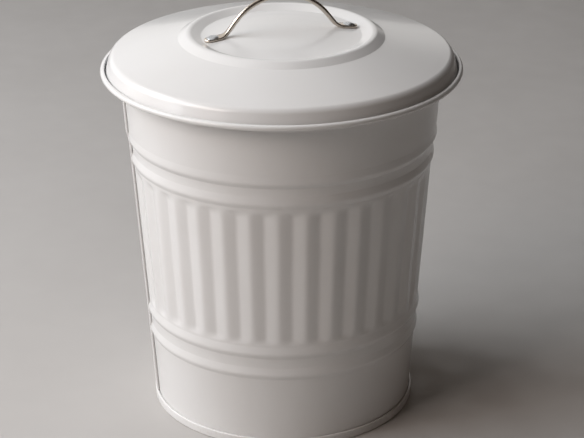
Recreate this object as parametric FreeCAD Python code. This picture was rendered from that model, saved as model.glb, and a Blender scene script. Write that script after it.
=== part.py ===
import FreeCAD, Part
import math
import os

Vector = FreeCAD.Vector
ORIGIN = Vector(0, 0, 0)
UP = Vector(0, 0, 1)
ACROSS = Vector(0, 1, 0)
FULL_TURN = 360.0
HALF_TURN = 180.0

# A round kitchen bin in painted sheet steel with a loose lid.
# Millimetres, +Z up, origin on the floor at the bin's axis, +X along the lid handle.

# Sheets and gaps
body_sheet = 0.6
base_sheet = 0.6
lid_sheet = 0.6
wire_gap = 0.3
chime_gap = 0.25
seat_gap = 0.3
hole_gap = 0.1
washer_gap = 0.05
overrun = 2.0
touch = 0.01

# Body wall: outer face of the plain cone, carried down to the floor and up to the rim
floor_radius = 113.3
mouth_radius = 136.6
body_height = 321.0
top_band_step = 1.6

# Pressed beads, two near the foot and two under the top band
lower_bead_low = 66.0
lower_bead_pitch = 20.4
upper_bead_low = 227.9
upper_bead_pitch = 18.9
bead_height = 11.2
bead_rise = 2.1
step_bead_rise = 2.7
bead_crown_share = 0.38
bead_crown_radius = 5.0
bead_lower_crease = 1.0
bead_upper_crease = 3.0

# Flutes between the bead pairs: a zigzag pressed inwards, with soft ends
flute_count = 34
flute_start = 172.1
flute_low = 99.6
flute_high = 225.4
flute_depth = 2.2
flute_run_out = 7.0
flute_crest_radius = 13.0
flute_valley_radius = 6.0
run_out_height_share = 0.4
run_out_depth_share = 0.6

# Folded side seam: its place round the axis, its strip and the lip with the crevice under it
seam_angle = 173.2
seam_width = 5.8
seam_lip_width = 1.2
seam_rise = 1.9
seam_crevice = 0.4
seam_bend_radius = 20.0

# Wired rim of the body
rim_wire_radius = 2.45
rim_end_share = 0.6
curl_bend_share = 0.95

# Base pan, its edge folded round the foot of the wall
chime_height = 7.6
chime_hook_tip = 2.6
chime_foot_radius = 1.2
chime_bend_radius = 0.9
pan_height = 8.4
pan_bend_radius = 2.0
panel_radius = 84.0
panel_step = 2.0
panel_step_width = 4.0
panel_bend_radius = 2.0

# Lid: rolled edge, sloping skirt, cone, raised ring and the domed centre that carries the handle
lid_radius = 155.0
lid_wire_radius = 1.5
lid_end_share = 0.5
shoulder_radius = 146.5
shoulder_bend_radius = 6.5
skirt_drop = 15.0
cone_rise = 13.4
ring_foot_radius = 88.3
ring_crest_radius = 78.3
ring_rise = 5.0
ring_drop = 3.9
plate_radius = 68.6
plate_slope = 7.0
plate_crown_reach = 50.0
plate_flat_radius = 6.0
ring_foot_bend = 2.5
ring_crest_bend = 8.0
plate_edge_bend = 3.0

# Handle: a slim bar bent to an arch, with flattened feet riveted to the dome's slope
strap_width = 10.0
arch_width = 4.6
arch_reach = 46.0
foot_reach = 55.0
strap_thickness = 2.6
strap_edge_round = 1.2
strap_half_length = 68.0
arch_half_width = 49.0
arch_rise = 31.4
arch_crown_radius = 50.0
arch_foot_bend = 12.0

# Rivets and the washers under the lid
rivet_offset = 60.4
rivet_shank_radius = 2.4
rivet_head_radius = 5.3
rivet_head_height = 1.7
rivet_tail_radius = 3.8
rivet_tail_height = 1.8
washer_radius = 6.0
washer_thickness = 1.0

# Sizes that follow from the ones above
wall_taper = (mouth_radius - floor_radius) / body_height
wall_angle = math.atan(wall_taper)
flute_pitch = FULL_TURN / flute_count
rim_curl_radius = rim_wire_radius + wire_gap
lid_curl_radius = lid_wire_radius + wire_gap
cone_angle = math.atan2(cone_rise, shoulder_radius - ring_foot_radius)
plate_angle = math.radians(plate_slope)


def wall_radius(height):
    """Outer radius of the plain wall below the top band."""
    return floor_radius + wall_taper * height


# Places in the folded foot of the wall
hook_floor = base_sheet + chime_gap + body_sheet
hook_wall = wall_radius(hook_floor)
pan_hook_radius = wall_radius(chime_height) + chime_gap
body_hook_radius = pan_hook_radius + base_sheet + chime_gap
chime_radius = body_hook_radius + body_sheet + chime_gap + base_sheet
chuck_radius = hook_wall - body_sheet - chime_gap - base_sheet

# Places in the rolled rim, and the lid that sits on it
rim_path_height = body_height - body_sheet
rim_path_radius = wall_radius(rim_path_height) + top_band_step
rim_centre = (rim_path_radius + rim_curl_radius, rim_path_height - rim_curl_radius)
lid_stand_off = (rim_curl_radius + body_sheet + seat_gap + lid_sheet) / math.cos(cone_angle)
shoulder_inset = (shoulder_radius - rim_centre[0]) * math.tan(cone_angle)
shoulder_height = rim_centre[1] + lid_stand_off - shoulder_inset
skirt_radius = lid_radius - lid_sheet - 2 * lid_curl_radius
skirt_foot = shoulder_height - skirt_drop
ring_foot_height = shoulder_height + cone_rise
ring_crest_height = ring_foot_height + ring_rise
plate_edge_height = ring_crest_height - ring_drop
plate_crown_radius = (plate_crown_reach - plate_flat_radius) / math.sin(plate_angle)
plate_corner_radius = plate_flat_radius + plate_crown_radius * math.tan(plate_angle / 2)


def slope_height(radius):
    """Height of the dome's sloping margin, or of its slope carried on, at a distance from the axis."""
    return plate_edge_height + (plate_radius - radius) * math.tan(plate_angle)


# Where the rivets meet the lid
seat_height = slope_height(rivet_offset)


def bend_points(before, corner, after, radius, offset):
    """Start, middle and end of a rounded corner of a path, moved to its left by offset."""
    here = Vector(corner[0], corner[1], 0)
    come = (here - Vector(before[0], before[1], 0)).normalize()
    go = (Vector(after[0], after[1], 0) - here).normalize()
    turn = math.atan2(come.x * go.y - come.y * go.x, come.dot(go))
    side = math.copysign(1.0, turn)
    reach = radius * math.tan(abs(turn) / 2)
    come_left = Vector(-come.y, come.x, 0)
    go_left = Vector(-go.y, go.x, 0)
    start = here - come * reach
    centre = start + come_left * (radius * side)
    out = (come_left + go_left).normalize() * -side
    middle = centre + out * (radius - offset * side)
    return [start + come_left * offset, middle, here + go * reach + go_left * offset]


def end_point(end, neighbour, offset, side):
    """End of a path moved sideways, cut level where its run stands up and square where it lies."""
    here = Vector(end[0], end[1], 0)
    run = (Vector(neighbour[0], neighbour[1], 0) - here).normalize()
    left = Vector(-run.y, run.x, 0) * (offset * side)
    if abs(run.y) > abs(run.x):
        return here + left - run * (left.y / run.y)
    return here + left


def path_edges(corners, offset, place):
    """Lines and arcs of an open path of (across, up, bend radius) corners, moved to its left."""
    stops = [end_point(corners[0], corners[1], offset, 1)]
    edges = []
    for before, corner, after in zip(corners, corners[1:], corners[2:]):
        start, middle, end = bend_points(before, corner, after, corner[2], offset)
        edges.append(Part.LineSegment(place(stops[-1]), place(start)).toShape())
        edges.append(Part.Arc(place(start), place(middle), place(end)).toShape())
        stops.append(end)
    last = end_point(corners[-1], corners[-2], offset, -1)
    edges.append(Part.LineSegment(place(stops[-1]), place(last)).toShape())
    return edges, place(stops[0]), place(last)


def upright(point):
    """Put a profile point into the plane of X and Z."""
    return Vector(point.x, 0, point.y)


def sheet_face(corners, left, right=0.0):
    """Section of a bent sheet that lies between two offsets of one path."""
    near, near_start, near_end = path_edges(corners, left, upright)
    far, far_start, far_end = path_edges(corners, right, upright)
    caps = [Part.makeLine(near_start, far_start), Part.makeLine(near_end, far_end)]
    return Part.Face(Part.Wire(Part.__sortEdges__(near + far + caps)))


def turned(face, turn=FULL_TURN, start=0.0):
    """Revolve a section about the bin's axis from a start angle."""
    section = face.copy()
    section.rotate(ORIGIN, UP, start)
    return section.revolve(ORIGIN, UP, turn)


def bead_corners(low, rise, step=0.0):
    """Path corners of one pressed bead, with an optional step out to the wall above it."""
    crown = low + bead_crown_share * bead_height
    high = low + bead_height
    return [
        (wall_radius(low), low, bead_lower_crease),
        (wall_radius(crown) + rise, crown, bead_crown_radius),
        (wall_radius(high) + step, high, bead_upper_crease),
    ]


def curl_corners(across, up, radius, sense):
    """Path corners of an edge rolled outwards round a wire, over the top or underneath."""
    bend = radius * curl_bend_share
    out = across + 2 * radius
    back = up - 2 * radius * sense
    return [(across, up, bend), (out, up, bend), (out, back, bend)]


def lower_wall():
    """Folded foot, plain band and lower beads, up to the flutes."""
    hook_bend = (body_hook_radius - hook_wall) / 2 * curl_bend_share
    corners = [
        (body_hook_radius, chime_height - base_sheet - chime_gap, 0),
        (body_hook_radius, hook_floor, hook_bend),
        (hook_wall, hook_floor, hook_bend),
    ]
    corners += bead_corners(lower_bead_low, bead_rise)
    corners += bead_corners(lower_bead_low + lower_bead_pitch, bead_rise)
    corners.append((wall_radius(flute_low), flute_low, 0))
    return turned(sheet_face(corners, body_sheet))


def upper_wall():
    """Upper beads, top band and rolled rim, from the flutes up."""
    corners = [(wall_radius(flute_high), flute_high, 0)]
    corners += bead_corners(upper_bead_low, bead_rise)
    corners += bead_corners(upper_bead_low + upper_bead_pitch, step_bead_rise, top_band_step)
    corners += curl_corners(rim_path_radius, rim_path_height, rim_curl_radius, 1)
    rim_end = rim_path_radius + rim_end_share * rim_curl_radius
    corners.append((rim_end, rim_path_height - 2 * rim_curl_radius, 0))
    return turned(sheet_face(corners, body_sheet))


def polar(radius, angle):
    """Plan point at an angle in degrees."""
    return Vector(radius * math.cos(math.radians(angle)), radius * math.sin(math.radians(angle)), 0)


def flute_bends(radius, depth, inset):
    """Rounded crests and valleys of one level of the flutes; the first, under the seam, has no depth."""
    corners = []
    for i in range(flute_count):
        valley_depth = depth if i else 0
        angle = flute_start + i * flute_pitch
        valley = polar(radius - valley_depth, angle)
        crest = polar(radius, angle + flute_pitch / 2)
        corners.append((valley.x, valley.y, flute_valley_radius))
        corners.append((crest.x, crest.y, flute_crest_radius))
    bends = []
    for i, corner in enumerate(corners):
        after = corners[(i + 1) % len(corners)]
        bends.append(bend_points(corners[i - 1], corner, after, corner[2], inset))
    return bends


def fluted_wire(height, depth, inset):
    """Closed outline of the fluted wall at one level."""
    lift = UP * height
    bends = flute_bends(wall_radius(height), depth, inset)
    edges = []
    for i, (start, middle, end) in enumerate(bends):
        after = bends[(i + 1) % len(bends)][0]
        edges.append(Part.Arc(start + lift, middle + lift, end + lift).toShape())
        edges.append(Part.LineSegment(end + lift, after + lift).toShape())
    return Part.Wire(edges)


def plain_wire(height, inset):
    """Round outline where the flutes have run out, split where the fluted outlines are."""
    radius = wall_radius(height) - inset / math.cos(wall_angle)
    stops = []
    for start, middle, end in flute_bends(radius, flute_depth, 0):
        stops += [start, end]
    angles = [math.degrees(math.atan2(stop.y, stop.x)) for stop in stops]
    edges = []
    for i, angle in enumerate(angles):
        sweep = (angles[(i + 1) % len(angles)] - angle) % FULL_TURN
        points = [polar(radius, angle + sweep * part / 2) + UP * height for part in range(3)]
        edges.append(Part.Arc(*points).toShape())
    return Part.Wire(edges)


def fluted_block(inset):
    """Solid inside the fluted wall's outer face, or inside its inner face when inset."""
    near = run_out_height_share * flute_run_out
    part_depth = run_out_depth_share * flute_depth
    wires = [
        plain_wire(flute_low, inset),
        fluted_wire(flute_low + near, part_depth, inset),
        fluted_wire(flute_low + flute_run_out, flute_depth, inset),
        fluted_wire(flute_high - flute_run_out, flute_depth, inset),
        fluted_wire(flute_high - near, part_depth, inset),
        plain_wire(flute_high, inset),
    ]
    return Part.makeLoft(wires, True, True)


def side_seam():
    """Strip of the folded seam on the wall, with a lip that leaves a crevice under its front edge."""
    low = chime_height + chime_gap
    high = rim_path_height - 2 * rim_curl_radius - body_sheet
    step_low = upper_bead_low + upper_bead_pitch
    step_high = step_low + bead_height
    corners = [
        (wall_radius(low), low, 0),
        (wall_radius(step_low), step_low, seam_bend_radius),
        (wall_radius(step_high) + top_band_step, step_high, seam_bend_radius),
        (wall_radius(high) + top_band_step, high, 0),
    ]
    middle = wall_radius((low + high) / 2)
    strip_turn = math.degrees(seam_width / middle)
    lip_turn = math.degrees(seam_lip_width / middle)
    start = seam_angle - (strip_turn + lip_turn) / 2
    strip = turned(sheet_face(corners, body_sheet / 2, -seam_rise), strip_turn, start)
    lip = turned(sheet_face(corners, -seam_crevice, -seam_rise), lip_turn, start + strip_turn)
    return strip.fuse(lip)


def body_shell():
    """The rolled sheet of the body in one piece."""
    flutes = fluted_block(0).cut(fluted_block(body_sheet))
    return lower_wall().fuse([flutes, upper_wall(), side_seam()])


def base_pan():
    """Dished bottom whose edge is folded up round the foot of the wall."""
    panel_height = pan_height - panel_step
    corners = [
        (0, panel_height, 0),
        (panel_radius, panel_height, panel_bend_radius),
        (panel_radius + panel_step_width, pan_height, panel_bend_radius),
        (chuck_radius, pan_height, pan_bend_radius),
        (chuck_radius, 0, chime_bend_radius),
        (chime_radius, 0, chime_foot_radius),
        (chime_radius, chime_height, chime_bend_radius),
        (pan_hook_radius, chime_height, chime_bend_radius),
        (pan_hook_radius, chime_hook_tip, 0),
    ]
    return turned(sheet_face(corners, base_sheet))


def leaning(shape, side):
    """Lean an upright shape over one rivet's seat until it stands square on the dome's slope."""
    leant = shape.copy()
    leant.rotate(Vector(side * rivet_offset, 0, seat_height), ACROSS, side * plate_slope)
    return leant


def rivet_axis(side, low, high, radius):
    """Round bar on one rivet's axis."""
    return leaning(Part.makeCylinder(radius, high - low, Vector(side * rivet_offset, 0, low), UP), side)


def rivet_holes():
    """Bars that cut the rivet holes through the strap's feet and the lid."""
    low = seat_height - lid_sheet - overrun
    high = seat_height + strap_thickness + overrun
    radius = rivet_shank_radius + hole_gap
    return [rivet_axis(side, low, high, radius) for side in (-1, 1)]


def lid_shell():
    """Pressed lid from the domed centre out to the rolled edge."""
    plate_top = slope_height(plate_corner_radius)
    corners = [
        (0, plate_top, 0),
        (plate_corner_radius, plate_top, plate_crown_radius),
        (plate_radius, plate_edge_height, plate_edge_bend),
        (ring_crest_radius, ring_crest_height, ring_crest_bend),
        (ring_foot_radius, ring_foot_height, ring_foot_bend),
        (shoulder_radius, shoulder_height, shoulder_bend_radius),
    ]
    corners += curl_corners(skirt_radius, skirt_foot, lid_curl_radius, -1)
    lid_end = skirt_radius + lid_end_share * lid_curl_radius
    corners.append((lid_end, skirt_foot + 2 * lid_curl_radius, 0))
    return turned(sheet_face(corners, -lid_sheet)).cut(rivet_holes())


def crown_corner(half_width, rise, radius):
    """Height of the sharp corner that a round crown of this rise is cut from."""
    span = 2 * radius - rise
    tangent = (half_width - math.sqrt(half_width ** 2 - span * rise)) / span
    return half_width * math.tan(2 * math.atan(tangent))


def lies_along(edge, line):
    """Whether an edge's middle lies on a line, seen across the strap."""
    middle = edge.valueAt((edge.FirstParameter + edge.LastParameter) / 2)
    return Part.Vertex(middle.x, 0, middle.z).distToShape(line)[0] < touch


def lid_handle():
    """Bar bent to an arch, with flattened round feet and softened upper edges."""
    foot_end = slope_height(strap_half_length)
    foot_bend = slope_height(arch_half_width)
    crown = foot_bend + crown_corner(arch_half_width, arch_rise, arch_crown_radius)
    corners = [
        (-strap_half_length, foot_end, 0),
        (-arch_half_width, foot_bend, arch_foot_bend),
        (0, crown, arch_crown_radius),
        (arch_half_width, foot_bend, arch_foot_bend),
        (strap_half_length, foot_end, 0),
    ]
    strap = sheet_face(corners, strap_thickness)
    strap.translate(Vector(0, -strap_width / 2, 0))
    strap = strap.extrude(Vector(0, strap_width, 0))
    strap = strap.common(strap_outline())
    upper_line = Part.Wire(path_edges(corners, strap_thickness, upright)[0])
    rounded = [edge for edge in strap.Edges if lies_along(edge, upper_line)]
    strap = strap.makeFillet(strap_edge_round, rounded)
    return strap.cut(rivet_holes())


def strap_outline():
    """Block with the handle's plan, slim over the arch and round at both flattened ends."""
    low = slope_height(strap_half_length) - overrun
    height = slope_height(arch_half_width) + arch_rise + strap_thickness + overrun - low
    end = strap_half_length - strap_width / 2
    half = [(arch_reach, arch_width / 2), (foot_reach, strap_width / 2), (end, strap_width / 2)]
    front = [(-across, -out) for across, out in reversed(half)] + [(across, -out) for across, out in half]
    back = [(-across, -out) for across, out in front]
    points = [Vector(across, out, low) for across, out in front + back]
    block = Part.Face(Part.makePolygon(points + points[:1])).extrude(UP * height)
    ends = [Part.makeCylinder(strap_width / 2, height, Vector(side * end, 0, low)) for side in (-1, 1)]
    return block.fuse(ends)


def rivet(side):
    """Domed rivet through strap, lid and washer, with its clenched tail."""
    seat = seat_height + strap_thickness
    under = seat_height - lid_sheet - washer_gap - washer_thickness
    rim = Vector(rivet_head_radius, 0, seat)
    top = Vector(0, 0, seat + rivet_head_height)
    dome_radius = (rivet_head_radius ** 2 + rivet_head_height ** 2) / (2 * rivet_head_height)
    dome_angle = math.asin(rivet_head_radius / dome_radius) / 2
    dome_centre = top.z - dome_radius
    over = Vector(dome_radius * math.sin(dome_angle), 0, dome_centre + dome_radius * math.cos(dome_angle))
    tail = under - rivet_tail_height
    outline = [
        Part.Arc(top, over, rim).toShape(),
        Part.makeLine(rim, Vector(rivet_shank_radius, 0, seat)),
        Part.makeLine(Vector(rivet_shank_radius, 0, seat), Vector(rivet_shank_radius, 0, under)),
        Part.makeLine(Vector(rivet_shank_radius, 0, under), Vector(rivet_tail_radius, 0, under)),
        Part.makeLine(Vector(rivet_tail_radius, 0, under), Vector(rivet_shank_radius, 0, tail)),
        Part.makeLine(Vector(rivet_shank_radius, 0, tail), Vector(0, 0, tail)),
        Part.makeLine(Vector(0, 0, tail), top),
    ]
    solid = turned(Part.Face(Part.Wire(outline)))
    solid.translate(Vector(side * rivet_offset, 0, 0))
    return leaning(solid, side)


def washer(side):
    """Washer between the lid and a rivet's tail."""
    high = seat_height - lid_sheet - washer_gap
    low = high - washer_thickness
    ring = rivet_axis(side, low, high, washer_radius)
    return ring.cut(rivet_axis(side, low - overrun, high + overrun, rivet_shank_radius + hole_gap))


def edge_wire(centre, radius):
    """Steel wire ring inside a rolled edge."""
    return Part.makeTorus(centre[0], radius, Vector(0, 0, centre[1]))


lid_edge_centre = (skirt_radius + lid_curl_radius, skirt_foot + lid_curl_radius)

pieces = {
    "body_shell": body_shell(),
    "body_rim_wire": edge_wire(rim_centre, rim_wire_radius),
    "base_pan": base_pan(),
    "lid_shell": lid_shell(),
    "lid_edge_wire": edge_wire(lid_edge_centre, lid_wire_radius),
    "lid_handle": lid_handle(),
    "handle_rivet_left": rivet(-1),
    "handle_rivet_right": rivet(1),
    "rivet_washer_left": washer(-1),
    "rivet_washer_right": washer(1),
}

os.makedirs("parts", exist_ok=True)
for name, shape in pieces.items():
    solid = shape if shape.ShapeType == "Solid" else shape.Solids[0]
    box = solid.BoundBox
    print(name, len(shape.Solids), solid.isValid(), round(solid.Volume), round(box.ZMin, 2), end=" ")
    print(round(box.ZMax, 2))
    solid.exportStep("parts/" + name + ".step")
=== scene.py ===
"""Dressed model of a round kitchen bin in painted sheet steel with a loose lid.

Every length is in metres in the part's own frame: +Z up, the origin on the floor at the
bin's axis, +X along the lid handle.
"""

from __future__ import annotations

import logging
import math
from collections.abc import Sequence
from dataclasses import dataclass, field
from enum import Enum

import bmesh
import bpy
from mathutils import Euler, Matrix, Vector

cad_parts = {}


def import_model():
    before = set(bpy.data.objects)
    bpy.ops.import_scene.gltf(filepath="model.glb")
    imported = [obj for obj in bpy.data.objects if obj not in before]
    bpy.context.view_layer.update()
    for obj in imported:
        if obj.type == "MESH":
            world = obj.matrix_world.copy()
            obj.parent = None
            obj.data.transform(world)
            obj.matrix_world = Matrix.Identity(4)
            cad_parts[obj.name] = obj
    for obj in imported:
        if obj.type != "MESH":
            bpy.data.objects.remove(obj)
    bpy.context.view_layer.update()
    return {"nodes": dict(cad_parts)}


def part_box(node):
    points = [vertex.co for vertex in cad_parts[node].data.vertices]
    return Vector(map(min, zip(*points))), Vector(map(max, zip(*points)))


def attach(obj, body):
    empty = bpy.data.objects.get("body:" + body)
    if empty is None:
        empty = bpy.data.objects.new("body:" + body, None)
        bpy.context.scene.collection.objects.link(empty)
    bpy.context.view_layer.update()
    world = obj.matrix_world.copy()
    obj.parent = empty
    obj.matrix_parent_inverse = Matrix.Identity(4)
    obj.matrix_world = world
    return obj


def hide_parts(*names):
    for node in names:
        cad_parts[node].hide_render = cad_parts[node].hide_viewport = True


Socket = bpy.types.NodeSocket
Range = tuple[float, float]
Triple = tuple[float, float, float]

LOG = logging.getLogger("kitchen_bin")
FULL_TURN = 2 * math.pi
TOUCH = 1e-6
NEAR = 2e-5
FULL = 1.0


class Metal(Enum):
    """Side of a drawn path, seen along it, on which the sheet metal lies."""

    LEFT = 1
    RIGHT = -1


class Slot(Enum):
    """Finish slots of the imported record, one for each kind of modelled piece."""

    PAINT = "painted_sheet"
    STRAP = "plated_strap"
    RIVET = "rivet_steel"


class Body(Enum):
    """Bodies that pieces ride on."""

    BIN = "bin"
    LID = "lid"


@dataclass(frozen=True)
class Bend:
    """Corner of a sheet's path: distance from the axis, height and bend radius."""

    across: float
    up: float
    radius: float = 0.0

    def flat(self) -> Vector:
        """The corner as a flat point."""
        return Vector((self.across, self.up))

    def place(self, angle: float = 0.0) -> Vector:
        """The corner in the upright plane at an angle round the axis."""
        return Vector((self.across * math.cos(angle), self.across * math.sin(angle), self.up))


class Bench:
    """Edit-mode moves that the pieces share."""

    bend_step: float = math.radians(13)
    longest_step: float = 0.004
    fewest_steps: int = 2
    round_profile: float = 0.5
    smooth_angle: float = math.radians(40)
    inwards: float = -1.0

    @staticmethod
    def deselect() -> None:
        """Leave edit mode and select nothing."""
        if bpy.context.object and bpy.context.object.mode != "OBJECT":
            bpy.ops.object.mode_set(mode="OBJECT")
        bpy.ops.object.select_all(action="DESELECT")

    @staticmethod
    def take(*pieces: bpy.types.Object) -> None:
        """Select some pieces alone.

        Args:
            pieces: The pieces, the first of which becomes the active one.
        """
        Bench.deselect()
        bpy.context.view_layer.objects.active = pieces[0]
        for piece in pieces:
            piece.select_set(True)

    @staticmethod
    def begin(name: str, place: Vector) -> bpy.types.Object:
        """Start a piece as one vertex in edit mode.

        Args:
            name: The piece's name.
            place: Where the vertex goes.

        Returns:
            The new object, in edit mode with its vertex selected.
        """
        Bench.deselect()
        bpy.ops.mesh.primitive_plane_add(size=1, location=(0, 0, 0))
        piece = bpy.context.object
        piece.name = name
        piece.data.name = name
        bpy.ops.object.mode_set(mode="EDIT")
        bpy.ops.mesh.select_mode(type="VERT")
        bpy.ops.mesh.select_all(action="SELECT")
        bpy.ops.mesh.merge(type="CENTER")
        bpy.ops.transform.translate(value=place)
        return piece

    @staticmethod
    def edit(piece: bpy.types.Object) -> None:
        """Open one piece alone in edit mode.

        Args:
            piece: The piece.
        """
        Bench.take(piece)
        bpy.ops.object.mode_set(mode="EDIT")
        bpy.ops.mesh.select_mode(type="VERT")

    @staticmethod
    def pick(piece: bpy.types.Object, spot: Vector) -> None:
        """Select the vertices that lie at a place.

        Args:
            piece: The object in edit mode.
            spot: The place.
        """
        bpy.ops.mesh.select_all(action="DESELECT")
        mesh = bmesh.from_edit_mesh(piece.data)
        for vertex in mesh.verts:
            if (vertex.co - spot).length < NEAR:
                vertex.select = True
        mesh.select_flush(True)
        bmesh.update_edit_mesh(piece.data)

    @staticmethod
    def draw(points: Sequence[Vector]) -> None:
        """Extrude what is selected from the first point along the rest."""
        for here, there in zip(points, points[1:]):
            bpy.ops.mesh.extrude_region_move(TRANSFORM_OT_translate={"value": there - here})

    @staticmethod
    def bend_segments(radius: float, turn: float) -> int:
        """Steps that keep a bend round: enough for its turn and for its length."""
        by_length = round(radius * turn / Bench.longest_step)
        return max(Bench.fewest_steps, round(turn / Bench.bend_step), by_length)

    @staticmethod
    def round_off(
        piece: bpy.types.Object, bends: Sequence[Bend], angle: float, fineness: int
    ) -> None:
        """Bevel the inner corners of a drawn path to their bend radii.

        Args:
            piece: The object in edit mode that holds the path.
            bends: The path's corners.
            angle: Angle round the axis of the plane that it is drawn in.
            fineness: How many times as many steps as usual a bend gets.
        """
        for before, bend, after in zip(bends, bends[1:], bends[2:]):
            if not bend.radius:
                continue
            come = bend.flat() - before.flat()
            turn = come.angle(after.flat() - bend.flat())
            Bench.pick(piece, bend.place(angle))
            bpy.ops.mesh.bevel(
                offset=bend.radius * math.tan(turn / 2),
                offset_type="OFFSET",
                segments=fineness * Bench.bend_segments(bend.radius, turn),
                profile=Bench.round_profile,
                affect="VERTICES",
            )

    @staticmethod
    def profile(
        name: str, bends: Sequence[Bend], angle: float = 0.0, fineness: int = 1
    ) -> bpy.types.Object:
        """Draw a path of rounded corners in the upright plane at an angle.

        Args:
            name: The piece's name.
            bends: The path's corners from start to end.
            angle: Angle of the plane round the axis.
            fineness: How many times as many steps as usual a bend gets.

        Returns:
            The object, in edit mode.
        """
        points = [bend.place(angle) for bend in bends]
        piece = Bench.begin(name, points[0])
        Bench.draw(points)
        Bench.round_off(piece, bends, angle, fineness)
        return piece

    @staticmethod
    def spin(steps: int, turn: float = FULL_TURN, copies: bool = False) -> None:
        """Turn everything round the bin's axis, as a skin or as copies."""
        bpy.ops.mesh.select_all(action="SELECT")
        bpy.ops.mesh.spin(steps=steps, angle=turn, dupli=copies, center=(0, 0, 0), axis=(0, 0, 1))

    @staticmethod
    def merge() -> None:
        """Merge the doubles of the piece in edit mode."""
        bpy.ops.mesh.select_all(action="SELECT")
        bpy.ops.mesh.remove_doubles(threshold=TOUCH)

    @staticmethod
    def face_out() -> None:
        """Turn the faces of the piece in edit mode outwards."""
        bpy.ops.mesh.select_all(action="SELECT")
        bpy.ops.mesh.normals_make_consistent(inside=False)

    @staticmethod
    def weld(piece: bpy.types.Object, start: Bend, after: Bend, side: Metal) -> None:
        """Merge doubles and turn the faces away from the side that the metal lies on.

        Args:
            piece: The object in edit mode.
            start: First corner of a run of the path that the skin was turned from.
            after: Next corner of that path.
            side: Side of the path on which the metal lies.
        """
        Bench.merge()
        Bench.face_out()
        run = (after.flat() - start.flat()).normalized()
        away = Vector((run.y, -run.x)) * side.value
        middle = (start.flat() + after.flat()) / 2

        def distance(face: bmesh.types.BMFace) -> float:
            """How far a face is from the middle of the run."""
            centre = face.calc_center_median()
            return (Vector((centre.xy.length, centre.z)) - middle).length

        nearest = min(bmesh.from_edit_mesh(piece.data).faces, key=distance)
        spot = nearest.calc_center_median()
        out = spot.xy.normalized() if spot.xy.length > TOUCH else Vector((1, 0))
        facing = Vector((nearest.normal.xy.dot(out), nearest.normal.z))
        if facing.dot(away) < 0:
            bpy.ops.mesh.flip_normals()

    @staticmethod
    def thicken(piece: bpy.types.Object, thickness: float) -> None:
        """Give an open skin its sheet thickness on the side that its faces turn away from.

        Args:
            piece: The skin.
            thickness: Sheet thickness.
        """
        Bench.take(piece)
        wall = piece.modifiers.new("sheet", "SOLIDIFY")
        wall.thickness = thickness
        wall.offset = Bench.inwards
        wall.use_even_offset = True
        bpy.ops.object.modifier_apply(modifier=wall.name)

    @staticmethod
    def smooth(piece: bpy.types.Object) -> None:
        """Shade a piece smooth except at its sharp edges."""
        Bench.take(piece)
        bpy.ops.object.shade_smooth_by_angle(angle=Bench.smooth_angle)

    @staticmethod
    def join(*pieces: bpy.types.Object) -> None:
        """Join pieces into the first of them."""
        Bench.take(*pieces)
        bpy.ops.object.join()

    @staticmethod
    def turned(
        name: str, bends: Sequence[Bend], side: Metal, thickness: float, steps: int
    ) -> bpy.types.Object:
        """Make a round piece of bent sheet.

        Args:
            name: The piece's name.
            bends: Path of one face of the sheet.
            side: Side of the path on which the metal lies.
            thickness: Sheet thickness.
            steps: Steps round the axis.

        Returns:
            The finished piece, in object mode.
        """
        piece = Bench.profile(name, bends)
        Bench.spin(steps)
        Bench.weld(piece, bends[0], bends[1], side)
        Bench.thicken(piece, thickness)
        Bench.smooth(piece)
        return piece


class Graph:
    """Adds nodes to a tree and joins them."""

    mix_share: int = 0
    mix_first: int = 6
    mix_second: int = 7
    mix_result: int = 2

    def __init__(self, tree: bpy.types.NodeTree) -> None:
        """Take up a tree."""
        self.tree = tree

    def add(self, kind: str, **values: object) -> bpy.types.Node:
        """Add a node.

        Args:
            kind: The node's type.
            values: The node's own properties.

        Returns:
            The node.
        """
        node = self.tree.nodes.new(kind)
        for key, value in values.items():
            setattr(node, key, value)
        return node

    def link(self, source: Socket, target: Socket) -> None:
        """Join an output to an input."""
        self.tree.links.new(source, target)

    def combine(self, operation: str, one: Socket, other: Socket) -> Socket:
        """Work out a value from two others.

        Args:
            operation: What is done with them.
            one: The first value.
            other: The second value.

        Returns:
            The result.
        """
        node = self.add("ShaderNodeMath", operation=operation)
        self.link(one, node.inputs[0])
        self.link(other, node.inputs[1])
        return node.outputs["Value"]

    def blend(self, share: Socket, first: Socket | Triple, second: Triple) -> Socket:
        """Mix two colours.

        Args:
            share: Share of the second colour.
            first: The first colour, which may come from another node.
            second: The second colour.

        Returns:
            The mixed colour.
        """
        node = self.add("ShaderNodeMix", data_type="RGBA")
        self.link(share, node.inputs[self.mix_share])
        if isinstance(first, tuple):
            node.inputs[self.mix_first].default_value = (*first, FULL)
        else:
            self.link(first, node.inputs[self.mix_first])
        node.inputs[self.mix_second].default_value = (*second, FULL)
        return node.outputs[self.mix_result]


@dataclass(frozen=True)
class Grain:
    """Noise: its cells to a metre, its octaves and the weight of the finer ones."""

    scale: float
    detail: float = 2.0
    roughness: float = 0.5


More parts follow.
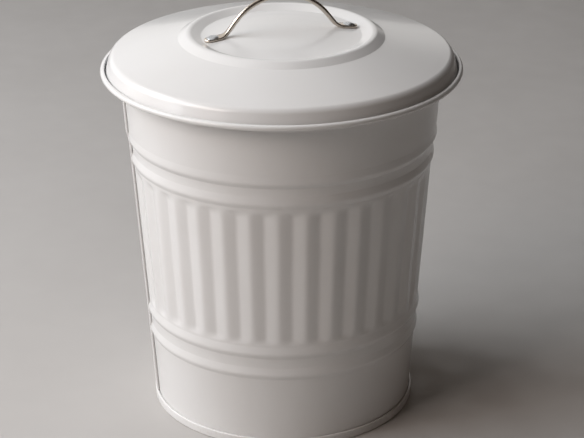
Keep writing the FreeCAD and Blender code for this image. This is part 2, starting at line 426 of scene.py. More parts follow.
class Nodes(Graph):
    """Builds one material's node tree."""

    whole: Range = (0.0, 1.0)
    falling: Range = (1.0, 0.0)
    middle: Range = (0.3, 0.7)

    def __init__(self, name: str) -> None:
        """Start a material that holds only its shader and output.

        Args:
            name: The material's name.
        """
        self.material = bpy.data.materials.new(name)
        self.material.use_nodes = True
        super().__init__(self.material.node_tree)
        self.shader = self.tree.nodes["Principled BSDF"]
        self.place = self.add("ShaderNodeTexCoord").outputs["Object"]

    def stretched(self, scale: Triple) -> Socket:
        """Object coordinates drawn out along the axes.

        Args:
            scale: Cells to a metre along each axis.

        Returns:
            The coordinates.
        """
        mapping = self.add("ShaderNodeMapping")
        mapping.inputs["Scale"].default_value = scale
        self.link(self.place, mapping.inputs["Vector"])
        return mapping.outputs["Vector"]

    def noise(self, grain: Grain, place: Socket | None = None) -> Socket:
        """Noise on object coordinates.

        Args:
            grain: What the noise is like.
            place: Coordinates to use instead of the plain ones.

        Returns:
            The noise's value.
        """
        node = self.add("ShaderNodeTexNoise")
        node.inputs["Scale"].default_value = grain.scale
        node.inputs["Detail"].default_value = grain.detail
        node.inputs["Roughness"].default_value = grain.roughness
        self.link(place or self.place, node.inputs["Vector"])
        return node.outputs["Fac"]

    def spread(self, source: Socket, onto: Range = whole, over: Range = middle) -> Socket:
        """Map a range of a value on to another range.

        Args:
            source: The value.
            onto: What the result goes from and to.
            over: Where in the value it does so.

        Returns:
            The result.
        """
        node = self.add("ShaderNodeMapRange", clamp=True)
        node.inputs["From Min"].default_value, node.inputs["From Max"].default_value = over
        node.inputs["To Min"].default_value, node.inputs["To Max"].default_value = onto
        self.link(source, node.inputs["Value"])
        return node.outputs["Result"]

    def near_floor(self, height: float) -> Socket:
        """How near a place is to the floor.

        Args:
            height: Height from which on the result is zero.

        Returns:
            One on the floor, falling to zero.
        """
        split = self.add("ShaderNodeSeparateXYZ")
        self.link(self.place, split.inputs["Vector"])
        return self.spread(split.outputs["Z"], self.falling, (0.0, height))

    def bump(self, source: Socket, depth: float, under: Socket | None = None) -> Socket:
        """Relief on the surface.

        Args:
            source: Its height, as a share of the depth.
            depth: Its depth.
            under: Another relief that it lies over.

        Returns:
            The surface's normal.
        """
        node = self.add("ShaderNodeBump")
        node.inputs["Strength"].default_value = FULL
        node.inputs["Distance"].default_value = depth
        self.link(source, node.inputs["Height"])
        if under:
            self.link(under, node.inputs["Normal"])
        return node.outputs["Normal"]

    def drive(self, socket: str, source: Socket) -> None:
        """Feed one of the shader's sockets."""
        self.link(source, self.shader.inputs[socket])

    def fix(self, **values: float) -> None:
        """Set constants on the shader's own sockets, with _ for a space in a name."""
        for key, value in values.items():
            self.shader.inputs[key.replace("_", " ")].default_value = value


@dataclass(frozen=True)
class GlossPaint:
    """Off-white stoved paint with a faint orange peel, on sheet that is never quite even."""

    name: str = "white_gloss_paint"
    tint: Triple = (0.80, 0.795, 0.785)
    shade: Triple = (0.775, 0.765, 0.75)
    clouds: Grain = Grain(9.0, 3.0)
    # Brownish darker specks towards the foot, fading out over the lowest 16 mm above the floor.
    dark_foot_tint: Triple = (0.56, 0.52, 0.47)
    dark_foot_height: float = 0.016
    dark_foot_share: float = 0.35
    specks: Grain = Grain(420.0, 2.0)
    speck_range: Range = (0.55, 0.75)
    gloss: Range = (0.205, 0.26)
    smears: Grain = Grain(26.0, 4.0, 0.6)
    peel: Grain = Grain(260.0, 1.0)
    peel_depth: float = 0.000006
    waves: Grain = Grain(11.0, 1.0)
    wave_depth: float = 0.0002
    index: float = 1.5
    coat: float = 0.25
    coat_roughness: float = 0.08

    def build(self) -> bpy.types.Material:
        """Make the material.

        Returns:
            The material.
        """
        nodes = Nodes(self.name)
        colour = nodes.blend(nodes.spread(nodes.noise(self.clouds)), self.tint, self.shade)
        specks = nodes.spread(nodes.noise(self.specks), (0.0, self.dark_foot_share), self.speck_range)
        # Darker brownish specks at the foot of the sheet, fading out upwards.
        dark_foot = nodes.combine("MULTIPLY", specks, nodes.near_floor(self.dark_foot_height))
        nodes.drive("Base Color", nodes.blend(dark_foot, colour, self.dark_foot_tint))
        nodes.drive("Roughness", nodes.spread(nodes.noise(self.smears), self.gloss))
        wave = nodes.bump(nodes.noise(self.waves), self.wave_depth)
        nodes.drive("Normal", nodes.bump(nodes.noise(self.peel), self.peel_depth, wave))
        nodes.fix(IOR=self.index, Coat_Weight=self.coat, Coat_Roughness=self.coat_roughness)
        return nodes.material


@dataclass(frozen=True)
class PlatedMetal:
    """Bright plate over drawn steel: fine lines along one direction and a little haze."""

    name: str
    tint: Triple
    shade: Triple
    gloss: Range
    haze: Grain = Grain(140.0, 3.0)
    lines: Grain = Grain(1.0, 3.0, 0.6)
    line_cells: Triple = (60.0, 1800.0, 1800.0)
    line_depth: float = 0.000004

    def build(self) -> bpy.types.Material:
        """Make the material.

        Returns:
            The material.
        """
        nodes = Nodes(self.name)
        lines = nodes.noise(self.lines, nodes.stretched(self.line_cells))
        haze = nodes.spread(nodes.noise(self.haze))
        nodes.drive("Base Color", nodes.blend(haze, self.tint, self.shade))
        nodes.drive("Roughness", nodes.spread(lines, self.gloss))
        nodes.drive("Normal", nodes.bump(lines, self.line_depth))
        nodes.fix(Metallic=FULL)
        return nodes.material


NICKEL = PlatedMetal(
    name="nickel_plate", tint=(0.66, 0.60, 0.53), shade=(0.58, 0.52, 0.45), gloss=(0.16, 0.3)
)
ZINC = PlatedMetal(
    name="zinc_plate", tint=(0.62, 0.65, 0.68), shade=(0.52, 0.55, 0.58), gloss=(0.2, 0.34)
)


@dataclass(frozen=True)
class DippedWire:
    """Zinc-dipped wire with the patches of colour that zinc sets in."""

    name: str = "zinc_dipped_wire"
    tint: Triple = (0.55, 0.56, 0.57)
    shade: Triple = (0.36, 0.37, 0.38)
    patch_scale: float = 260.0
    patch_range: Range = (0.1, 0.8)
    gloss: Range = (0.35, 0.55)
    smears: Grain = Grain(500.0, 3.0)
    relief: Grain = Grain(900.0, 2.0)
    relief_depth: float = 0.00002

    def build(self) -> bpy.types.Material:
        """Make the material.

        Returns:
            The material.
        """
        nodes = Nodes(self.name)
        cells = nodes.add("ShaderNodeTexVoronoi")
        cells.inputs["Scale"].default_value = self.patch_scale
        nodes.link(nodes.place, cells.inputs["Vector"])
        patches = nodes.spread(cells.outputs["Distance"], over=self.patch_range)
        nodes.drive("Base Color", nodes.blend(patches, self.tint, self.shade))
        nodes.drive("Roughness", nodes.spread(nodes.noise(self.smears), self.gloss))
        nodes.drive("Normal", nodes.bump(nodes.noise(self.relief), self.relief_depth))
        nodes.fix(Metallic=FULL)
        return nodes.material


@dataclass(frozen=True)
class FloorFinish:
    """Plain pale floor with a faint mottle."""

    name: str = "pale_floor"
    tint: Triple = (0.54, 0.52, 0.50)
    shade: Triple = (0.51, 0.49, 0.47)
    mottle: Grain = Grain(4.0, 4.0)
    gloss: Range = (0.55, 0.7)
    smears: Grain = Grain(30.0, 3.0)
    relief: Grain = Grain(300.0, 2.0)
    relief_depth: float = 0.00005

    def build(self) -> bpy.types.Material:
        """Make the material.

        Returns:
            The material.
        """
        nodes = Nodes(self.name)
        mottle = nodes.spread(nodes.noise(self.mottle))
        nodes.drive("Base Color", nodes.blend(mottle, self.tint, self.shade))
        nodes.drive("Roughness", nodes.spread(nodes.noise(self.smears), self.gloss))
        nodes.drive("Normal", nodes.bump(nodes.noise(self.relief), self.relief_depth))
        return nodes.material


class Piece:
    """Ways in which finished pieces are put on the frame."""

    @staticmethod
    def fit(
        piece: bpy.types.Object, finish: bpy.types.Material, body: Body, slot: Slot, *nodes: str
    ) -> None:
        """Dress a piece, ride it on its body and let it stand for its solids.

        Args:
            piece: The finished piece.
            finish: Its material.
            body: The body that it moves with.
            slot: The record's slot for its finish; not used.
            nodes: Names of the solids that it stands for.
        """
        piece.data.materials.clear()
        piece.data.materials.append(finish)
        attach(piece, body.value)
        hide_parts(*nodes)
        LOG.info("%s: %d faces", piece.name, len(piece.data.polygons))

    @staticmethod
    def dress(node: bpy.types.Object, finish: bpy.types.Material) -> None:
        """Give a solid that stays in view its material.

        Args:
            node: The solid.
            finish: The material.
        """
        node.data.materials.clear()
        node.data.materials.append(finish)
        LOG.info("%s: kept as it is", node.name)


@dataclass
class BinBody:
    """The fluted, beaded wall with its folded seam and rolled rim, and the base folded on to it."""

    sheet: float = 0.0006
    fold_gap: float = 0.00025
    wire_room: float = 0.00275
    floor_radius: float = 0.1133
    mouth_radius: float = 0.1366
    height: float = 0.321
    top_band_step: float = 0.0016

    bead_lows: tuple[float, ...] = (0.066, 0.0864, 0.2279, 0.2468)
    bead_rises: tuple[float, ...] = (0.0021, 0.0021, 0.0021, 0.0027)
    bead_height: float = 0.0112
    bead_crown_share: float = 0.38
    bead_radii: Triple = (0.001, 0.005, 0.003)

    flute_count: int = 34
    flute_columns: int = 12
    flute_start: float = math.radians(172.1)
    flute_low: float = 0.0996
    flute_high: float = 0.2254
    flute_depth: float = 0.0022
    flute_run_out: float = 0.007
    flute_crest_radius: float = 0.013
    flute_valley_radius: float = 0.006
    run_out_shares: tuple[float, ...] = (0.1, 0.22, 0.38, 0.58, 0.78, 1.0)
    run_out_power: float = 1.8

    seam_angle: float = math.radians(173.2)
    seam_width: float = 0.0058
    seam_lip: float = 0.0012
    seam_rise: float = 0.0019
    seam_crevice: float = 0.0004
    seam_round: float = 0.0004

    chime_height: float = 0.0076
    chime_tip: float = 0.0026
    chime_foot_radius: float = 0.0012
    chime_radius: float = 0.0009
    pan_height: float = 0.0084
    pan_radius: float = 0.002
    panel_radius: float = 0.084
    panel_step: float = 0.002
    panel_step_width: float = 0.004
    pan_steps: int = 240
    curl_share: float = 0.95
    rim_end_share: float = 0.6

    taper: float = field(init=False)
    pitch: float = field(init=False)
    hook_floor: float = field(init=False)
    pan_hook: float = field(init=False)
    body_hook: float = field(init=False)

    def __post_init__(self) -> None:
        """Work out the sizes that follow from the others."""
        self.taper = (self.mouth_radius - self.floor_radius) / self.height
        self.pitch = FULL_TURN / self.flute_count
        self.hook_floor = 2 * self.sheet + self.fold_gap
        self.pan_hook = self.wall(self.chime_height) + self.fold_gap
        self.body_hook = self.pan_hook + self.sheet + self.fold_gap

    def wall(self, height: float) -> float:
        """Outer radius of the plain wall at a height."""
        return self.floor_radius + self.taper * height

    def bead(self, index: int, step: float = 0.0) -> list[Bend]:
        """Path of one pressed bead.

        Args:
            index: Which bead, from the foot up.
            step: Step out to the wall above it.

        Returns:
            Its three corners.
        """
        low = self.bead_lows[index]
        crown = low + self.bead_crown_share * self.bead_height
        high = low + self.bead_height
        lower, top, upper = self.bead_radii
        return [
            Bend(self.wall(low), low, lower),
            Bend(self.wall(crown) + self.bead_rises[index], crown, top),
            Bend(self.wall(high) + step, high, upper),
        ]

    def run_outs(self) -> dict[float, float]:
        """Levels of the flutes' soft ends.

        Returns:
            Each level, from the lowest up, with its share of the flutes' depth.
        """
        levels = {}
        for share in self.run_out_shares:
            depth = 1 - (1 - share) ** self.run_out_power
            levels[self.flute_low + share * self.flute_run_out] = depth
            levels[self.flute_high - share * self.flute_run_out] = depth
        return dict(sorted(levels.items()))

    def wall_path(self) -> list[Bend]:
        """Outer face of the wall.

        Returns:
            Its corners, from the fold in the chime to the end of the rolled rim.
        """
        hook_wall = self.wall(self.hook_floor)
        hook_bend = (self.body_hook - hook_wall) / 2 * self.curl_share
        path = [
            Bend(self.body_hook, self.chime_height - self.sheet - self.fold_gap),
            Bend(self.body_hook, self.hook_floor, hook_bend),
            Bend(hook_wall, self.hook_floor, hook_bend),
        ]
        path += self.bead(0) + self.bead(1)
        path += [
            Bend(self.wall(level), level)
            for level in (self.flute_low, *self.run_outs(), self.flute_high)
        ]
        path += self.bead(2) + self.bead(3, self.top_band_step)
        top = self.height - self.sheet
        near = self.wall(top) + self.top_band_step
        far = near + 2 * self.wire_room
        low = top - 2 * self.wire_room
        bend = self.wire_room * self.curl_share
        path += [Bend(near, top, bend), Bend(far, top, bend), Bend(far, low, bend)]
        path.append(Bend(near + self.rim_end_share * self.wire_room, low))
        return path

    def flute_section(self, column: int) -> float:
        """Section of a flute: a zigzag with a rounded crest and valley.

        Args:
            column: Column of the flute's panel.

        Returns:
            The depth there.
        """
        half_columns = self.flute_columns / 2
        half = self.wall((self.flute_low + self.flute_high) / 2) * self.pitch / 2
        along = half * (1 - abs(column - half_columns) / half_columns)
        slope = math.atan(self.flute_depth / half)
        crest_reach = self.flute_crest_radius * math.sin(slope)
        valley_reach = self.flute_valley_radius * math.sin(slope)
        crest_cut = self.flute_crest_radius * (1 / math.cos(slope) - 1)
        depth = along * math.tan(slope) - crest_cut
        if along < crest_reach:
            rest = math.sqrt(self.flute_crest_radius**2 - along**2)
            depth = self.flute_crest_radius - rest
        if half - along < valley_reach:
            rest = math.sqrt(self.flute_valley_radius**2 - (half - along) ** 2)
            valley_cut = self.flute_valley_radius * (1 / math.cos(slope) - 1)
            bottom = half * math.tan(slope) - crest_cut - valley_cut
            depth = bottom - (self.flute_valley_radius - rest)
        return depth

    def press_flute(self, panel: bpy.types.Object, start: float) -> None:
        """Press one flute into a plain panel, column by column and level by level.

        Args:
            panel: The panel's object.
            start: Angle of the panel's first edge.
        """
        Bench.edit(panel)
        step = self.pitch / self.flute_columns
        for level, share in self.run_outs().items():
            radius = self.wall(level)
            for column in range(1, self.flute_columns):
                scale = 1 - share * self.flute_section(column) / radius
                Bench.pick(panel, Bend(radius, level).place(start - column * step))
                bpy.ops.transform.resize(value=(scale, scale, 1), center_override=(0, 0, 0))

    def build_wall(self) -> bpy.types.Object:
        """Model the wall: one fluted panel copied round, and a plain panel under the seam.

        Returns:
            The wall.
        """
        path = self.wall_path()
        start = self.flute_start + self.pitch / 2
        wall = Bench.profile("bin_wall", path, start)
        Bench.spin(self.flute_columns, self.pitch)
        Bench.spin(1, self.pitch, copies=True)
        bpy.ops.mesh.separate(type="SELECTED")
        fluted = next(piece for piece in bpy.context.selected_objects if piece != wall)
        self.press_flute(fluted, start - self.pitch)
        made = (wall, fluted)
        copies = self.flute_count - len(made)
        Bench.spin(copies, copies * self.pitch, copies=True)
        Bench.join(*made)
        Bench.edit(wall)
        wall_foot, first_bead = path[2:4]
        Bench.weld(wall, wall_foot, first_bead, Metal.LEFT)
        Bench.thicken(wall, self.sheet)
        return wall

    def seam_point(self, across: float, out: float, level: float, step: float) -> Vector:
        """Place on the seam.

        Args:
            across: Distance from the strip's hidden edge towards the lip.
            out: Distance out from the wall.
            level: Height.
            step: Step of the wall at that height.

        Returns:
            The place.
        """
        width = self.seam_width + self.seam_lip
        radial = Vector((math.cos(self.seam_angle), math.sin(self.seam_angle), 0))
        tangent = Vector((-radial.y, radial.x, 0))
        centre = radial * (self.wall(level) + step + out) + tangent * (across - width / 2)
        return centre + Vector((0, 0, level))

    def build_seam(self) -> bpy.types.Object:
        """Model the folded seam: its section drawn at the foot and extruded up the wall.

        Returns:
            The seam, in edit mode.
        """
        width = self.seam_width + self.seam_lip
        soft = self.seam_round
        outline = [
            (0, -self.sheet / 2),
            (0, self.seam_rise - soft),
            (soft, self.seam_rise),
            (width - soft, self.seam_rise),
            (width, self.seam_rise - soft),
            (width, self.seam_crevice),
            (self.seam_width, self.seam_crevice),
            (self.seam_width, -self.sheet / 2),
        ]
        step_low = self.bead_lows[-1]
        levels = [
            (self.chime_height + self.fold_gap, 0),
            (step_low, 0),
            (step_low + self.bead_height, self.top_band_step),
            (self.height - 2 * self.sheet - 2 * self.wire_room, self.top_band_step),
        ]
        points = [self.seam_point(across, out, *levels[0]) for across, out in outline]
        seam = Bench.begin("bin_seam", points[0])
        Bench.draw(points)
        bpy.ops.mesh.select_all(action="SELECT")
        bpy.ops.mesh.edge_face_add()
        Bench.draw([self.seam_point(0, 0, *level) for level in levels])
        Bench.face_out()
        return seam

    def build_base(self) -> bpy.types.Object:
        """Model the dished base whose edge is folded round the foot of the wall.

        Returns:
            The base.
        """
        chuck = self.wall(self.hook_floor) - 2 * self.sheet - self.fold_gap
        outside = self.body_hook + 2 * self.sheet + self.fold_gap
        panel = self.pan_height - self.panel_step
        path = [
            Bend(0, panel),
            Bend(self.panel_radius, panel, self.pan_radius),
            Bend(self.panel_radius + self.panel_step_width, self.pan_height, self.pan_radius),
            Bend(chuck, self.pan_height, self.pan_radius),
            Bend(chuck, 0, self.chime_radius),
            Bend(outside, 0, self.chime_foot_radius),
            Bend(outside, self.chime_height, self.chime_radius),
            Bend(self.pan_hook, self.chime_height, self.chime_radius),
            Bend(self.pan_hook, self.chime_tip),
        ]
        return Bench.turned("bin_base", path, Metal.LEFT, self.sheet, self.pan_steps)

    def build(self, paint: bpy.types.Material) -> None:
        """Model and dress the pieces of the bin's body.

        Args:
            paint: The bin's paint.
        """
        wall = self.build_wall()
        Bench.join(wall, self.build_seam())
        Bench.smooth(wall)
        Piece.fit(wall, paint, Body.BIN, Slot.PAINT, "body_shell")
        Piece.fit(self.build_base(), paint, Body.BIN, Slot.PAINT, "base_pan")


@dataclass
class BinLid:
    """The pressed lid with its rolled edge, its handle of round bar and the rivets."""

    sheet: float = 0.0006
    wire_room: float = 0.0018
    radius: float = 0.155
    shoulder_radius: float = 0.1465
    shoulder_bend: float = 0.0065
    skirt_drop: float = 0.015
    cone_rise: float = 0.0134
    ring_foot_radius: float = 0.0883
    ring_crest_radius: float = 0.0794
    ring_rise: float = 0.00597
    ring_drop: float = 0.00487
    ring_bends: Triple = (0.0018, 0.006, 0.003)
    plate_radius: float = 0.0686
    plate_slope: float = math.radians(7)
    plate_crown_reach: float = 0.050
    plate_flat_radius: float = 0.006
    curl_share: float = 0.95
    end_share: float = 0.5
    steps: int = 300

    half_length: float = 0.068
    bar_radius: float = 0.0021
    bar_resolution: int = 5
    bend_fineness: int = 3
    arch_half_width: float = 0.049
    arch_rise: float = 0.0314
    arch_crown_radius: float = 0.050
    arch_foot_bend: float = 0.012
    arch_steps: int = 60
    foot_width: float = 0.010
    foot_thickness: float = 0.0026
    foot_thin_reach: Range = (0.044, 0.0525)
    foot_wide_reach: Range = (0.0455, 0.055)
    foot_tip_steps: int = 8

    rivet_offset: float = 0.0604
    shank_radius: float = 0.0024
    head_radius: float = 0.0053
    head_height: float = 0.0017
    tail_radius: float = 0.0038
    tail_height: float = 0.0018
    washer_thickness: float = 0.001
    washer_gap: float = 0.00005
    rivet_steps: int = 48
    dome_steps: int = 8

    skirt_foot: float = field(init=False)
    plate_edge: float = field(init=False)
    seat: float = field(init=False)

    def __post_init__(self) -> None:
        """Work out the heights on the lid from the foot of its solid."""
        self.skirt_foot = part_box("lid_shell")[0].z + self.sheet
        ring_foot = self.skirt_foot + self.skirt_drop + self.cone_rise
        self.plate_edge = ring_foot + self.ring_rise - self.ring_drop
        self.seat = self.slope_height(self.rivet_offset)

    def slope_height(self, across: float) -> float:
        """Height of the dome's sloping margin, or of its slope carried on, off the axis."""
        return self.plate_edge + (self.plate_radius - across) * math.tan(self.plate_slope)

    def build_shell(self) -> bpy.types.Object:
        """Model the lid's sheet from the domed centre out to the rolled edge.

        Returns:
            The sheet.
        """
        foot = self.skirt_foot
        shoulder = foot + self.skirt_drop
        ring_foot = shoulder + self.cone_rise
        crown = (self.plate_crown_reach - self.plate_flat_radius) / math.sin(self.plate_slope)
        crown_corner = self.plate_flat_radius + crown * math.tan(self.plate_slope / 2)
        top = self.slope_height(crown_corner)
        near = self.radius - self.sheet - 2 * self.wire_room
        far = near + 2 * self.wire_room
        back = foot + 2 * self.wire_room
        bend = self.wire_room * self.curl_share
        foot_bend, crest_bend, plate_bend = self.ring_bends
        path = [
            Bend(0, top),
            Bend(crown_corner, top, crown),
            Bend(self.plate_radius, self.plate_edge, plate_bend),
            Bend(self.ring_crest_radius, ring_foot + self.ring_rise, crest_bend),
            Bend(self.ring_foot_radius, ring_foot, foot_bend),
            Bend(self.shoulder_radius, shoulder, self.shoulder_bend),
            Bend(near, foot, bend),
            Bend(far, foot, bend),
            Bend(far, back, bend),
            Bend(near + self.end_share * self.wire_room, back),
        ]
        return Bench.turned("lid_sheet", path, Metal.RIGHT, self.sheet, self.steps)

    def leg_lean(self) -> float:
        """Slope of the arch's legs.

        Returns:
            The angle at which a leg from the arch's foot touches the round crown.
        """
        span = 2 * self.arch_crown_radius - self.arch_rise
        half = self.arch_half_width
        return 2 * math.atan((half - math.sqrt(half**2 - span * self.arch_rise)) / span)

    def bar_path(self) -> list[Bend]:
        """Middle line of the handle.

        Returns:
            Its corners, from one foot's tip over the arch to the other's.
        """
        rise = self.foot_thickness / 2
        half = self.arch_half_width
        leg = self.leg_lean()
        foot_rise = rise / math.cos(self.plate_slope)
        leg_rise = rise / math.cos(leg)
        bend = half + (leg_rise - foot_rise) / (math.tan(leg) - math.tan(self.plate_slope))
        round_end = self.foot_width / 2
        turns = [
            (2 * step + 1) / (2 * self.foot_tip_steps) * math.pi / 2
            for step in reversed(range(self.foot_tip_steps))
        ]
        tips = [self.half_length - round_end + round_end * math.sin(turn) for turn in turns]
        foot = [Bend(across, self.slope_height(across) + foot_rise) for across in tips]
        foot.append(Bend(bend, self.slope_height(bend) + foot_rise, self.arch_foot_bend - rise))
        left = [Bend(-stop.across, stop.up, stop.radius) for stop in foot]
        centre = self.slope_height(half) + self.arch_rise - self.arch_crown_radius
        sweep = self.arch_crown_radius + rise
        leans = [leg * (2 * step / self.arch_steps - 1) for step in range(self.arch_steps + 1)]
        arch = [Bend(sweep * math.sin(lean), centre + sweep * math.cos(lean)) for lean in leans]
        return [*left, *arch, *reversed(foot)]

    @staticmethod
    def reached(across: float, reach: Range) -> float:
        """How far along a reach a place is, eased from 0 at its start to 1 at its end."""
        share = min(1.0, max(0.0, (abs(across) - reach[0]) / (reach[1] - reach[0])))
        return share**2 * (3 - 2 * share)

    def half_width(self, across: float) -> float:
        """Half the handle's width in plan, with the round end of its foot.

        Args:
            across: Distance from the lid's middle along the handle.

        Returns:
            Half the width.
        """
        foot = self.foot_width / 2
        beyond = max(0.0, abs(across) - self.half_length + foot) / foot
        wider = (foot - self.bar_radius) * self.reached(across, self.foot_wide_reach)
        return min(self.bar_radius + wider, foot * math.sqrt(max(0.0, 1 - beyond**2)))

    def half_height(self, across: float) -> float:
        """Half the handle's thickness, which its foot is flattened to.

        Args:
            across: Distance from the lid's middle along the handle.

        Returns:
            Half the thickness.
        """
        flat = self.foot_thickness / 2 - self.bar_radius
        high = self.bar_radius + flat * self.reached(across, self.foot_thin_reach)
        return min(high, self.half_width(across))

    def build_handle(self) -> bpy.types.Object:
        """Model the handle: a round bar along its middle line, with the feet spread flat.

        Returns:
            The handle.
        """
        handle = Bench.profile("lid_strap", self.bar_path(), fineness=self.bend_fineness)
        bpy.ops.object.mode_set(mode="OBJECT")
        bpy.ops.object.convert(target="CURVE")
        bar = handle.data
        bar.bevel_depth = self.bar_radius
        bar.bevel_resolution = self.bar_resolution
        bar.use_fill_caps = True
        for stop in bar.splines[0].points:
            stop.radius = self.half_height(stop.co.x) / self.bar_radius
        bpy.ops.object.convert(target="MESH")
        for side in (-1, 1):
            self.spread(handle, side)
        Bench.edit(handle)
        Bench.face_out()
        Bench.smooth(handle)
        return handle

    def spread(self, handle: bpy.types.Object, side: int) -> None:
        """Push one long side of the handle out to its width in plan.

        Args:
            handle: The handle as a bar.
            side: Which long side, -1 or 1 across it.
        """
        most = (self.foot_width - self.foot_thickness) / 2
        group = handle.vertex_groups.new(name=f"side_{side}")
        for vertex in handle.data.vertices:
            if vertex.co.y * side > NEAR:
                out = self.half_width(vertex.co.x) - self.half_height(vertex.co.x)
                group.add([vertex.index], out / most, "REPLACE")
        push = handle.modifiers.new("spread", "DISPLACE")
        push.direction = "Y"
        push.mid_level = 0
        push.strength = side * most
        push.vertex_group = group.name
        bpy.ops.object.modifier_apply(modifier=push.name)

    def build_rivet(self, name: str, side: int) -> bpy.types.Object:
        """Model a domed rivet with its shank and clenched tail.

        Args:
            name: The piece's name.
            side: Which end of the handle, -1 or 1.

        Returns:
            The rivet.
        """
        seat = self.seat + self.foot_thickness
        under = self.seat - self.sheet - self.washer_gap - self.washer_thickness
        tail = under - self.tail_height
        dome = (self.head_radius**2 + self.head_height**2) / (2 * self.head_height)
        sweep = math.asin(self.head_radius / dome)
        centre = seat + self.head_height - dome
        angles = [sweep * step / self.dome_steps for step in range(self.dome_steps + 1)]
        path = [Bend(dome * math.sin(angle), centre + dome * math.cos(angle)) for angle in angles]
        path += [Bend(self.shank_radius, seat), Bend(self.shank_radius, under)]
        path += [Bend(self.tail_radius, under), Bend(self.shank_radius, tail), Bend(0, tail)]
        rivet = Bench.profile(name, path)
        Bench.spin(self.rivet_steps)
        Bench.merge()
        Bench.face_out()
        bpy.ops.transform.translate(value=(side * self.rivet_offset, 0, 0))
        foot = (side * self.rivet_offset, 0, self.seat)
        lean = -side * self.plate_slope
        bpy.ops.transform.rotate(value=lean, orient_axis="Y", center_override=foot)
        Bench.smooth(rivet)
        return rivet

    def build(
        self, paint: bpy.types.Material, nickel: bpy.types.Material, zinc: bpy.types.Material
    ) -> None:
        """Model and dress the pieces of the lid.

        Args:
            paint: The sheet's paint.
            nickel: The handle's plate.
            zinc: The rivets' plate.
        """
        Piece.fit(self.build_shell(), paint, Body.LID, Slot.PAINT, "lid_shell")
        Piece.fit(self.build_handle(), nickel, Body.LID, Slot.STRAP, "lid_handle")
        for side, word in ((-1, "left"), (1, "right")):
            rivet = self.build_rivet(f"strap_rivet_{word}", side)
            Piece.fit(rivet, zinc, Body.LID, Slot.RIVET, f"handle_rivet_{word}")


@dataclass(frozen=True)
class SoftBox:
    """Soft lamp, placed to the viewer's right, away from the viewer, and up."""

    name: str
    place: Triple
    size: Range
    power: float
    tint: Triple
    in_gloss: bool = True

    def hang(self, turn: Matrix, aim: Vector) -> None:
        """Hang the lamp so that it points at the bin.

        Args:
            turn: Turn from the viewer's directions to the frame's.
            aim: Where it points.
        """
        light = bpy.data.lights.new(self.name, "AREA")
        light.shape = "RECTANGLE"
        light.size, light.size_y = self.size
        light.energy = self.power
        light.color = self.tint
        lamp = bpy.data.objects.new(self.name, light)
        lamp.visible_glossy = self.in_gloss
        lamp.location = turn @ Vector(self.place)
        lamp.rotation_euler = (aim - lamp.location).to_track_quat("-Z", "Y").to_euler()
        bpy.context.scene.collection.objects.link(lamp)


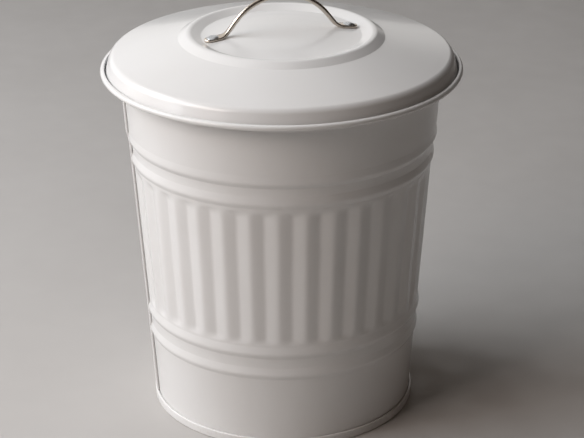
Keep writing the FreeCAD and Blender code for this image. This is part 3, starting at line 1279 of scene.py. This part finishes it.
@dataclass
class Studio:
    """Camera, floor and soft light.

    Directions of the light are to the viewer's right, away from the viewer, and up.
    """

    camera_place: Triple = (-0.4958, -1.63, 0.8936)
    heading: float = math.radians(-17.2)
    tilt: float = math.radians(66.834)
    roll: float = math.radians(-0.21)
    lens: float = 129.35
    sensor: float = 36.0
    floor_size: float = 40.0

    aim: Triple = (0.0, 0.0, 0.2)
    boxes: tuple[SoftBox, ...] = (
        SoftBox("left_box", (-1.72, -0.02, 1.3), (1.9, 1.5), 37.5, (0.93, 0.96, 1.0)),
        SoftBox("front_box", (-1.33, -1.11, 1.3), (0.9, 0.9), 13.0, (1.0, 0.88, 0.82)),
        SoftBox("top_box", (-0.8, 0.3, 2.1), (1.4, 1.4), 12.0, (0.93, 0.965, 1.0), in_gloss=False),
    )
    fill_tint: Triple = (1.0, 0.80, 0.66)
    fill_strength: float = 0.05
    pale_tint: Triple = (0.80, 0.77, 0.74)
    dim_tint: Triple = (0.05, 0.04, 0.035)
    pale_left: Triple = (-0.966, 0.259, 0.0)
    pale_left_reach: Range = (-0.1, 0.05)
    pale_back: Triple = (0.0, 1.0, 0.0)
    pale_back_reach: Range = (-0.35, 0.25)

    turn: Matrix = field(init=False)

    def __post_init__(self) -> None:
        """Work out the turn from the viewer's directions to the frame's."""
        self.turn = Euler((0, 0, self.heading)).to_matrix()

    def build_camera(self) -> None:
        """Stand the camera where the view is taken from."""
        lens = bpy.data.cameras.new("view")
        lens.lens = self.lens
        lens.sensor_width = self.sensor
        camera = bpy.data.objects.new("view", lens)
        camera.location = self.camera_place
        aim = self.turn @ Euler((self.tilt, 0, 0)).to_matrix()
        camera.rotation_euler = (aim @ Euler((0, 0, self.roll)).to_matrix()).to_euler()
        bpy.context.scene.collection.objects.link(camera)
        bpy.context.scene.camera = camera

    def build_floor(self) -> None:
        """Lay the floor."""
        Bench.deselect()
        bpy.ops.mesh.primitive_plane_add(size=self.floor_size, location=(0, 0, 0))
        floor = bpy.context.object
        floor.name = "floor"
        floor.data.materials.append(FloorFinish().build())

    def towards(self, graph: Graph, side: Triple, reach: Range) -> Socket:
        """How far a ray of the room points to one side.

        Args:
            graph: The world's nodes.
            side: The side.
            reach: Share of that side in the ray at which the result is 0, and at which it is 1.

        Returns:
            The result.
        """
        facing = graph.add("ShaderNodeVectorMath", operation="DOT_PRODUCT")
        facing.inputs[1].default_value = self.turn @ Vector(side)
        graph.link(graph.add("ShaderNodeTexCoord").outputs["Generated"], facing.inputs[0])
        share = graph.add("ShaderNodeMapRange", interpolation_type="SMOOTHSTEP")
        share.inputs["From Min"].default_value, share.inputs["From Max"].default_value = reach
        graph.link(facing.outputs["Value"], share.inputs["Value"])
        return share.outputs["Result"]

    def room_colour(self, graph: Graph) -> Socket:
        """Colour of the room by direction: pale to the left and behind the bin, dim elsewhere.

        Args:
            graph: The world's nodes.

        Returns:
            The colour.
        """
        left = self.towards(graph, self.pale_left, self.pale_left_reach)
        back = self.towards(graph, self.pale_back, self.pale_back_reach)
        return graph.blend(graph.combine("MULTIPLY", left, back), self.dim_tint, self.pale_tint)

    @staticmethod
    def seen_rays(graph: Graph) -> Socket:
        """Tell rays that show the room itself from those that light surfaces.

        Args:
            graph: The world's nodes.

        Returns:
            One for rays that show it, zero for the others.
        """
        path = graph.add("ShaderNodeLightPath")
        seen = path.outputs["Is Camera Ray"]
        for name in ("Is Glossy Ray", "Is Transmission Ray"):
            seen = graph.combine("MAXIMUM", seen, path.outputs[name])
        return seen

    def build_world(self) -> None:
        """Fill the room with a little even light, and give gloss pale and dim sides to show."""
        world = bpy.data.worlds.new("room")
        world.use_nodes = True
        graph = Graph(world.node_tree)
        fill = graph.tree.nodes["Background"]
        fill.inputs["Color"].default_value = (*self.fill_tint, FULL)
        fill.inputs["Strength"].default_value = self.fill_strength
        room = graph.add("ShaderNodeBackground")
        graph.link(self.room_colour(graph), room.inputs["Color"])
        mix = graph.add("ShaderNodeMixShader")
        for source, target in zip(
            (self.seen_rays(graph), fill.outputs[0], room.outputs[0]), mix.inputs
        ):
            graph.link(source, target)
        graph.link(mix.outputs[0], graph.tree.nodes["World Output"].inputs["Surface"])
        bpy.context.scene.world = world

    def build(self) -> None:
        """Set up the whole studio."""
        self.build_camera()
        self.build_floor()
        for box in self.boxes:
            box.hang(self.turn, Vector(self.aim))
        self.build_world()
        bpy.context.scene.view_settings.view_transform = "Standard"


def main() -> None:
    """Build the bin, the lid and the studio round the frame."""
    logging.basicConfig(level=logging.INFO, format="%(name)s %(message)s")
    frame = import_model()
    paint = GlossPaint().build()
    nickel = NICKEL.build()
    zinc = ZINC.build()
    wire = DippedWire().build()
    BinBody().build(paint)
    BinLid().build(paint, nickel, zinc)
    for name in ("body_rim_wire", "lid_edge_wire"):
        Piece.dress(frame["nodes"][name], wire)
    for name in ("rivet_washer_left", "rivet_washer_right"):
        Piece.dress(frame["nodes"][name], zinc)
    Studio().build()
    Bench.deselect()


if __name__ == "__main__":
    main()
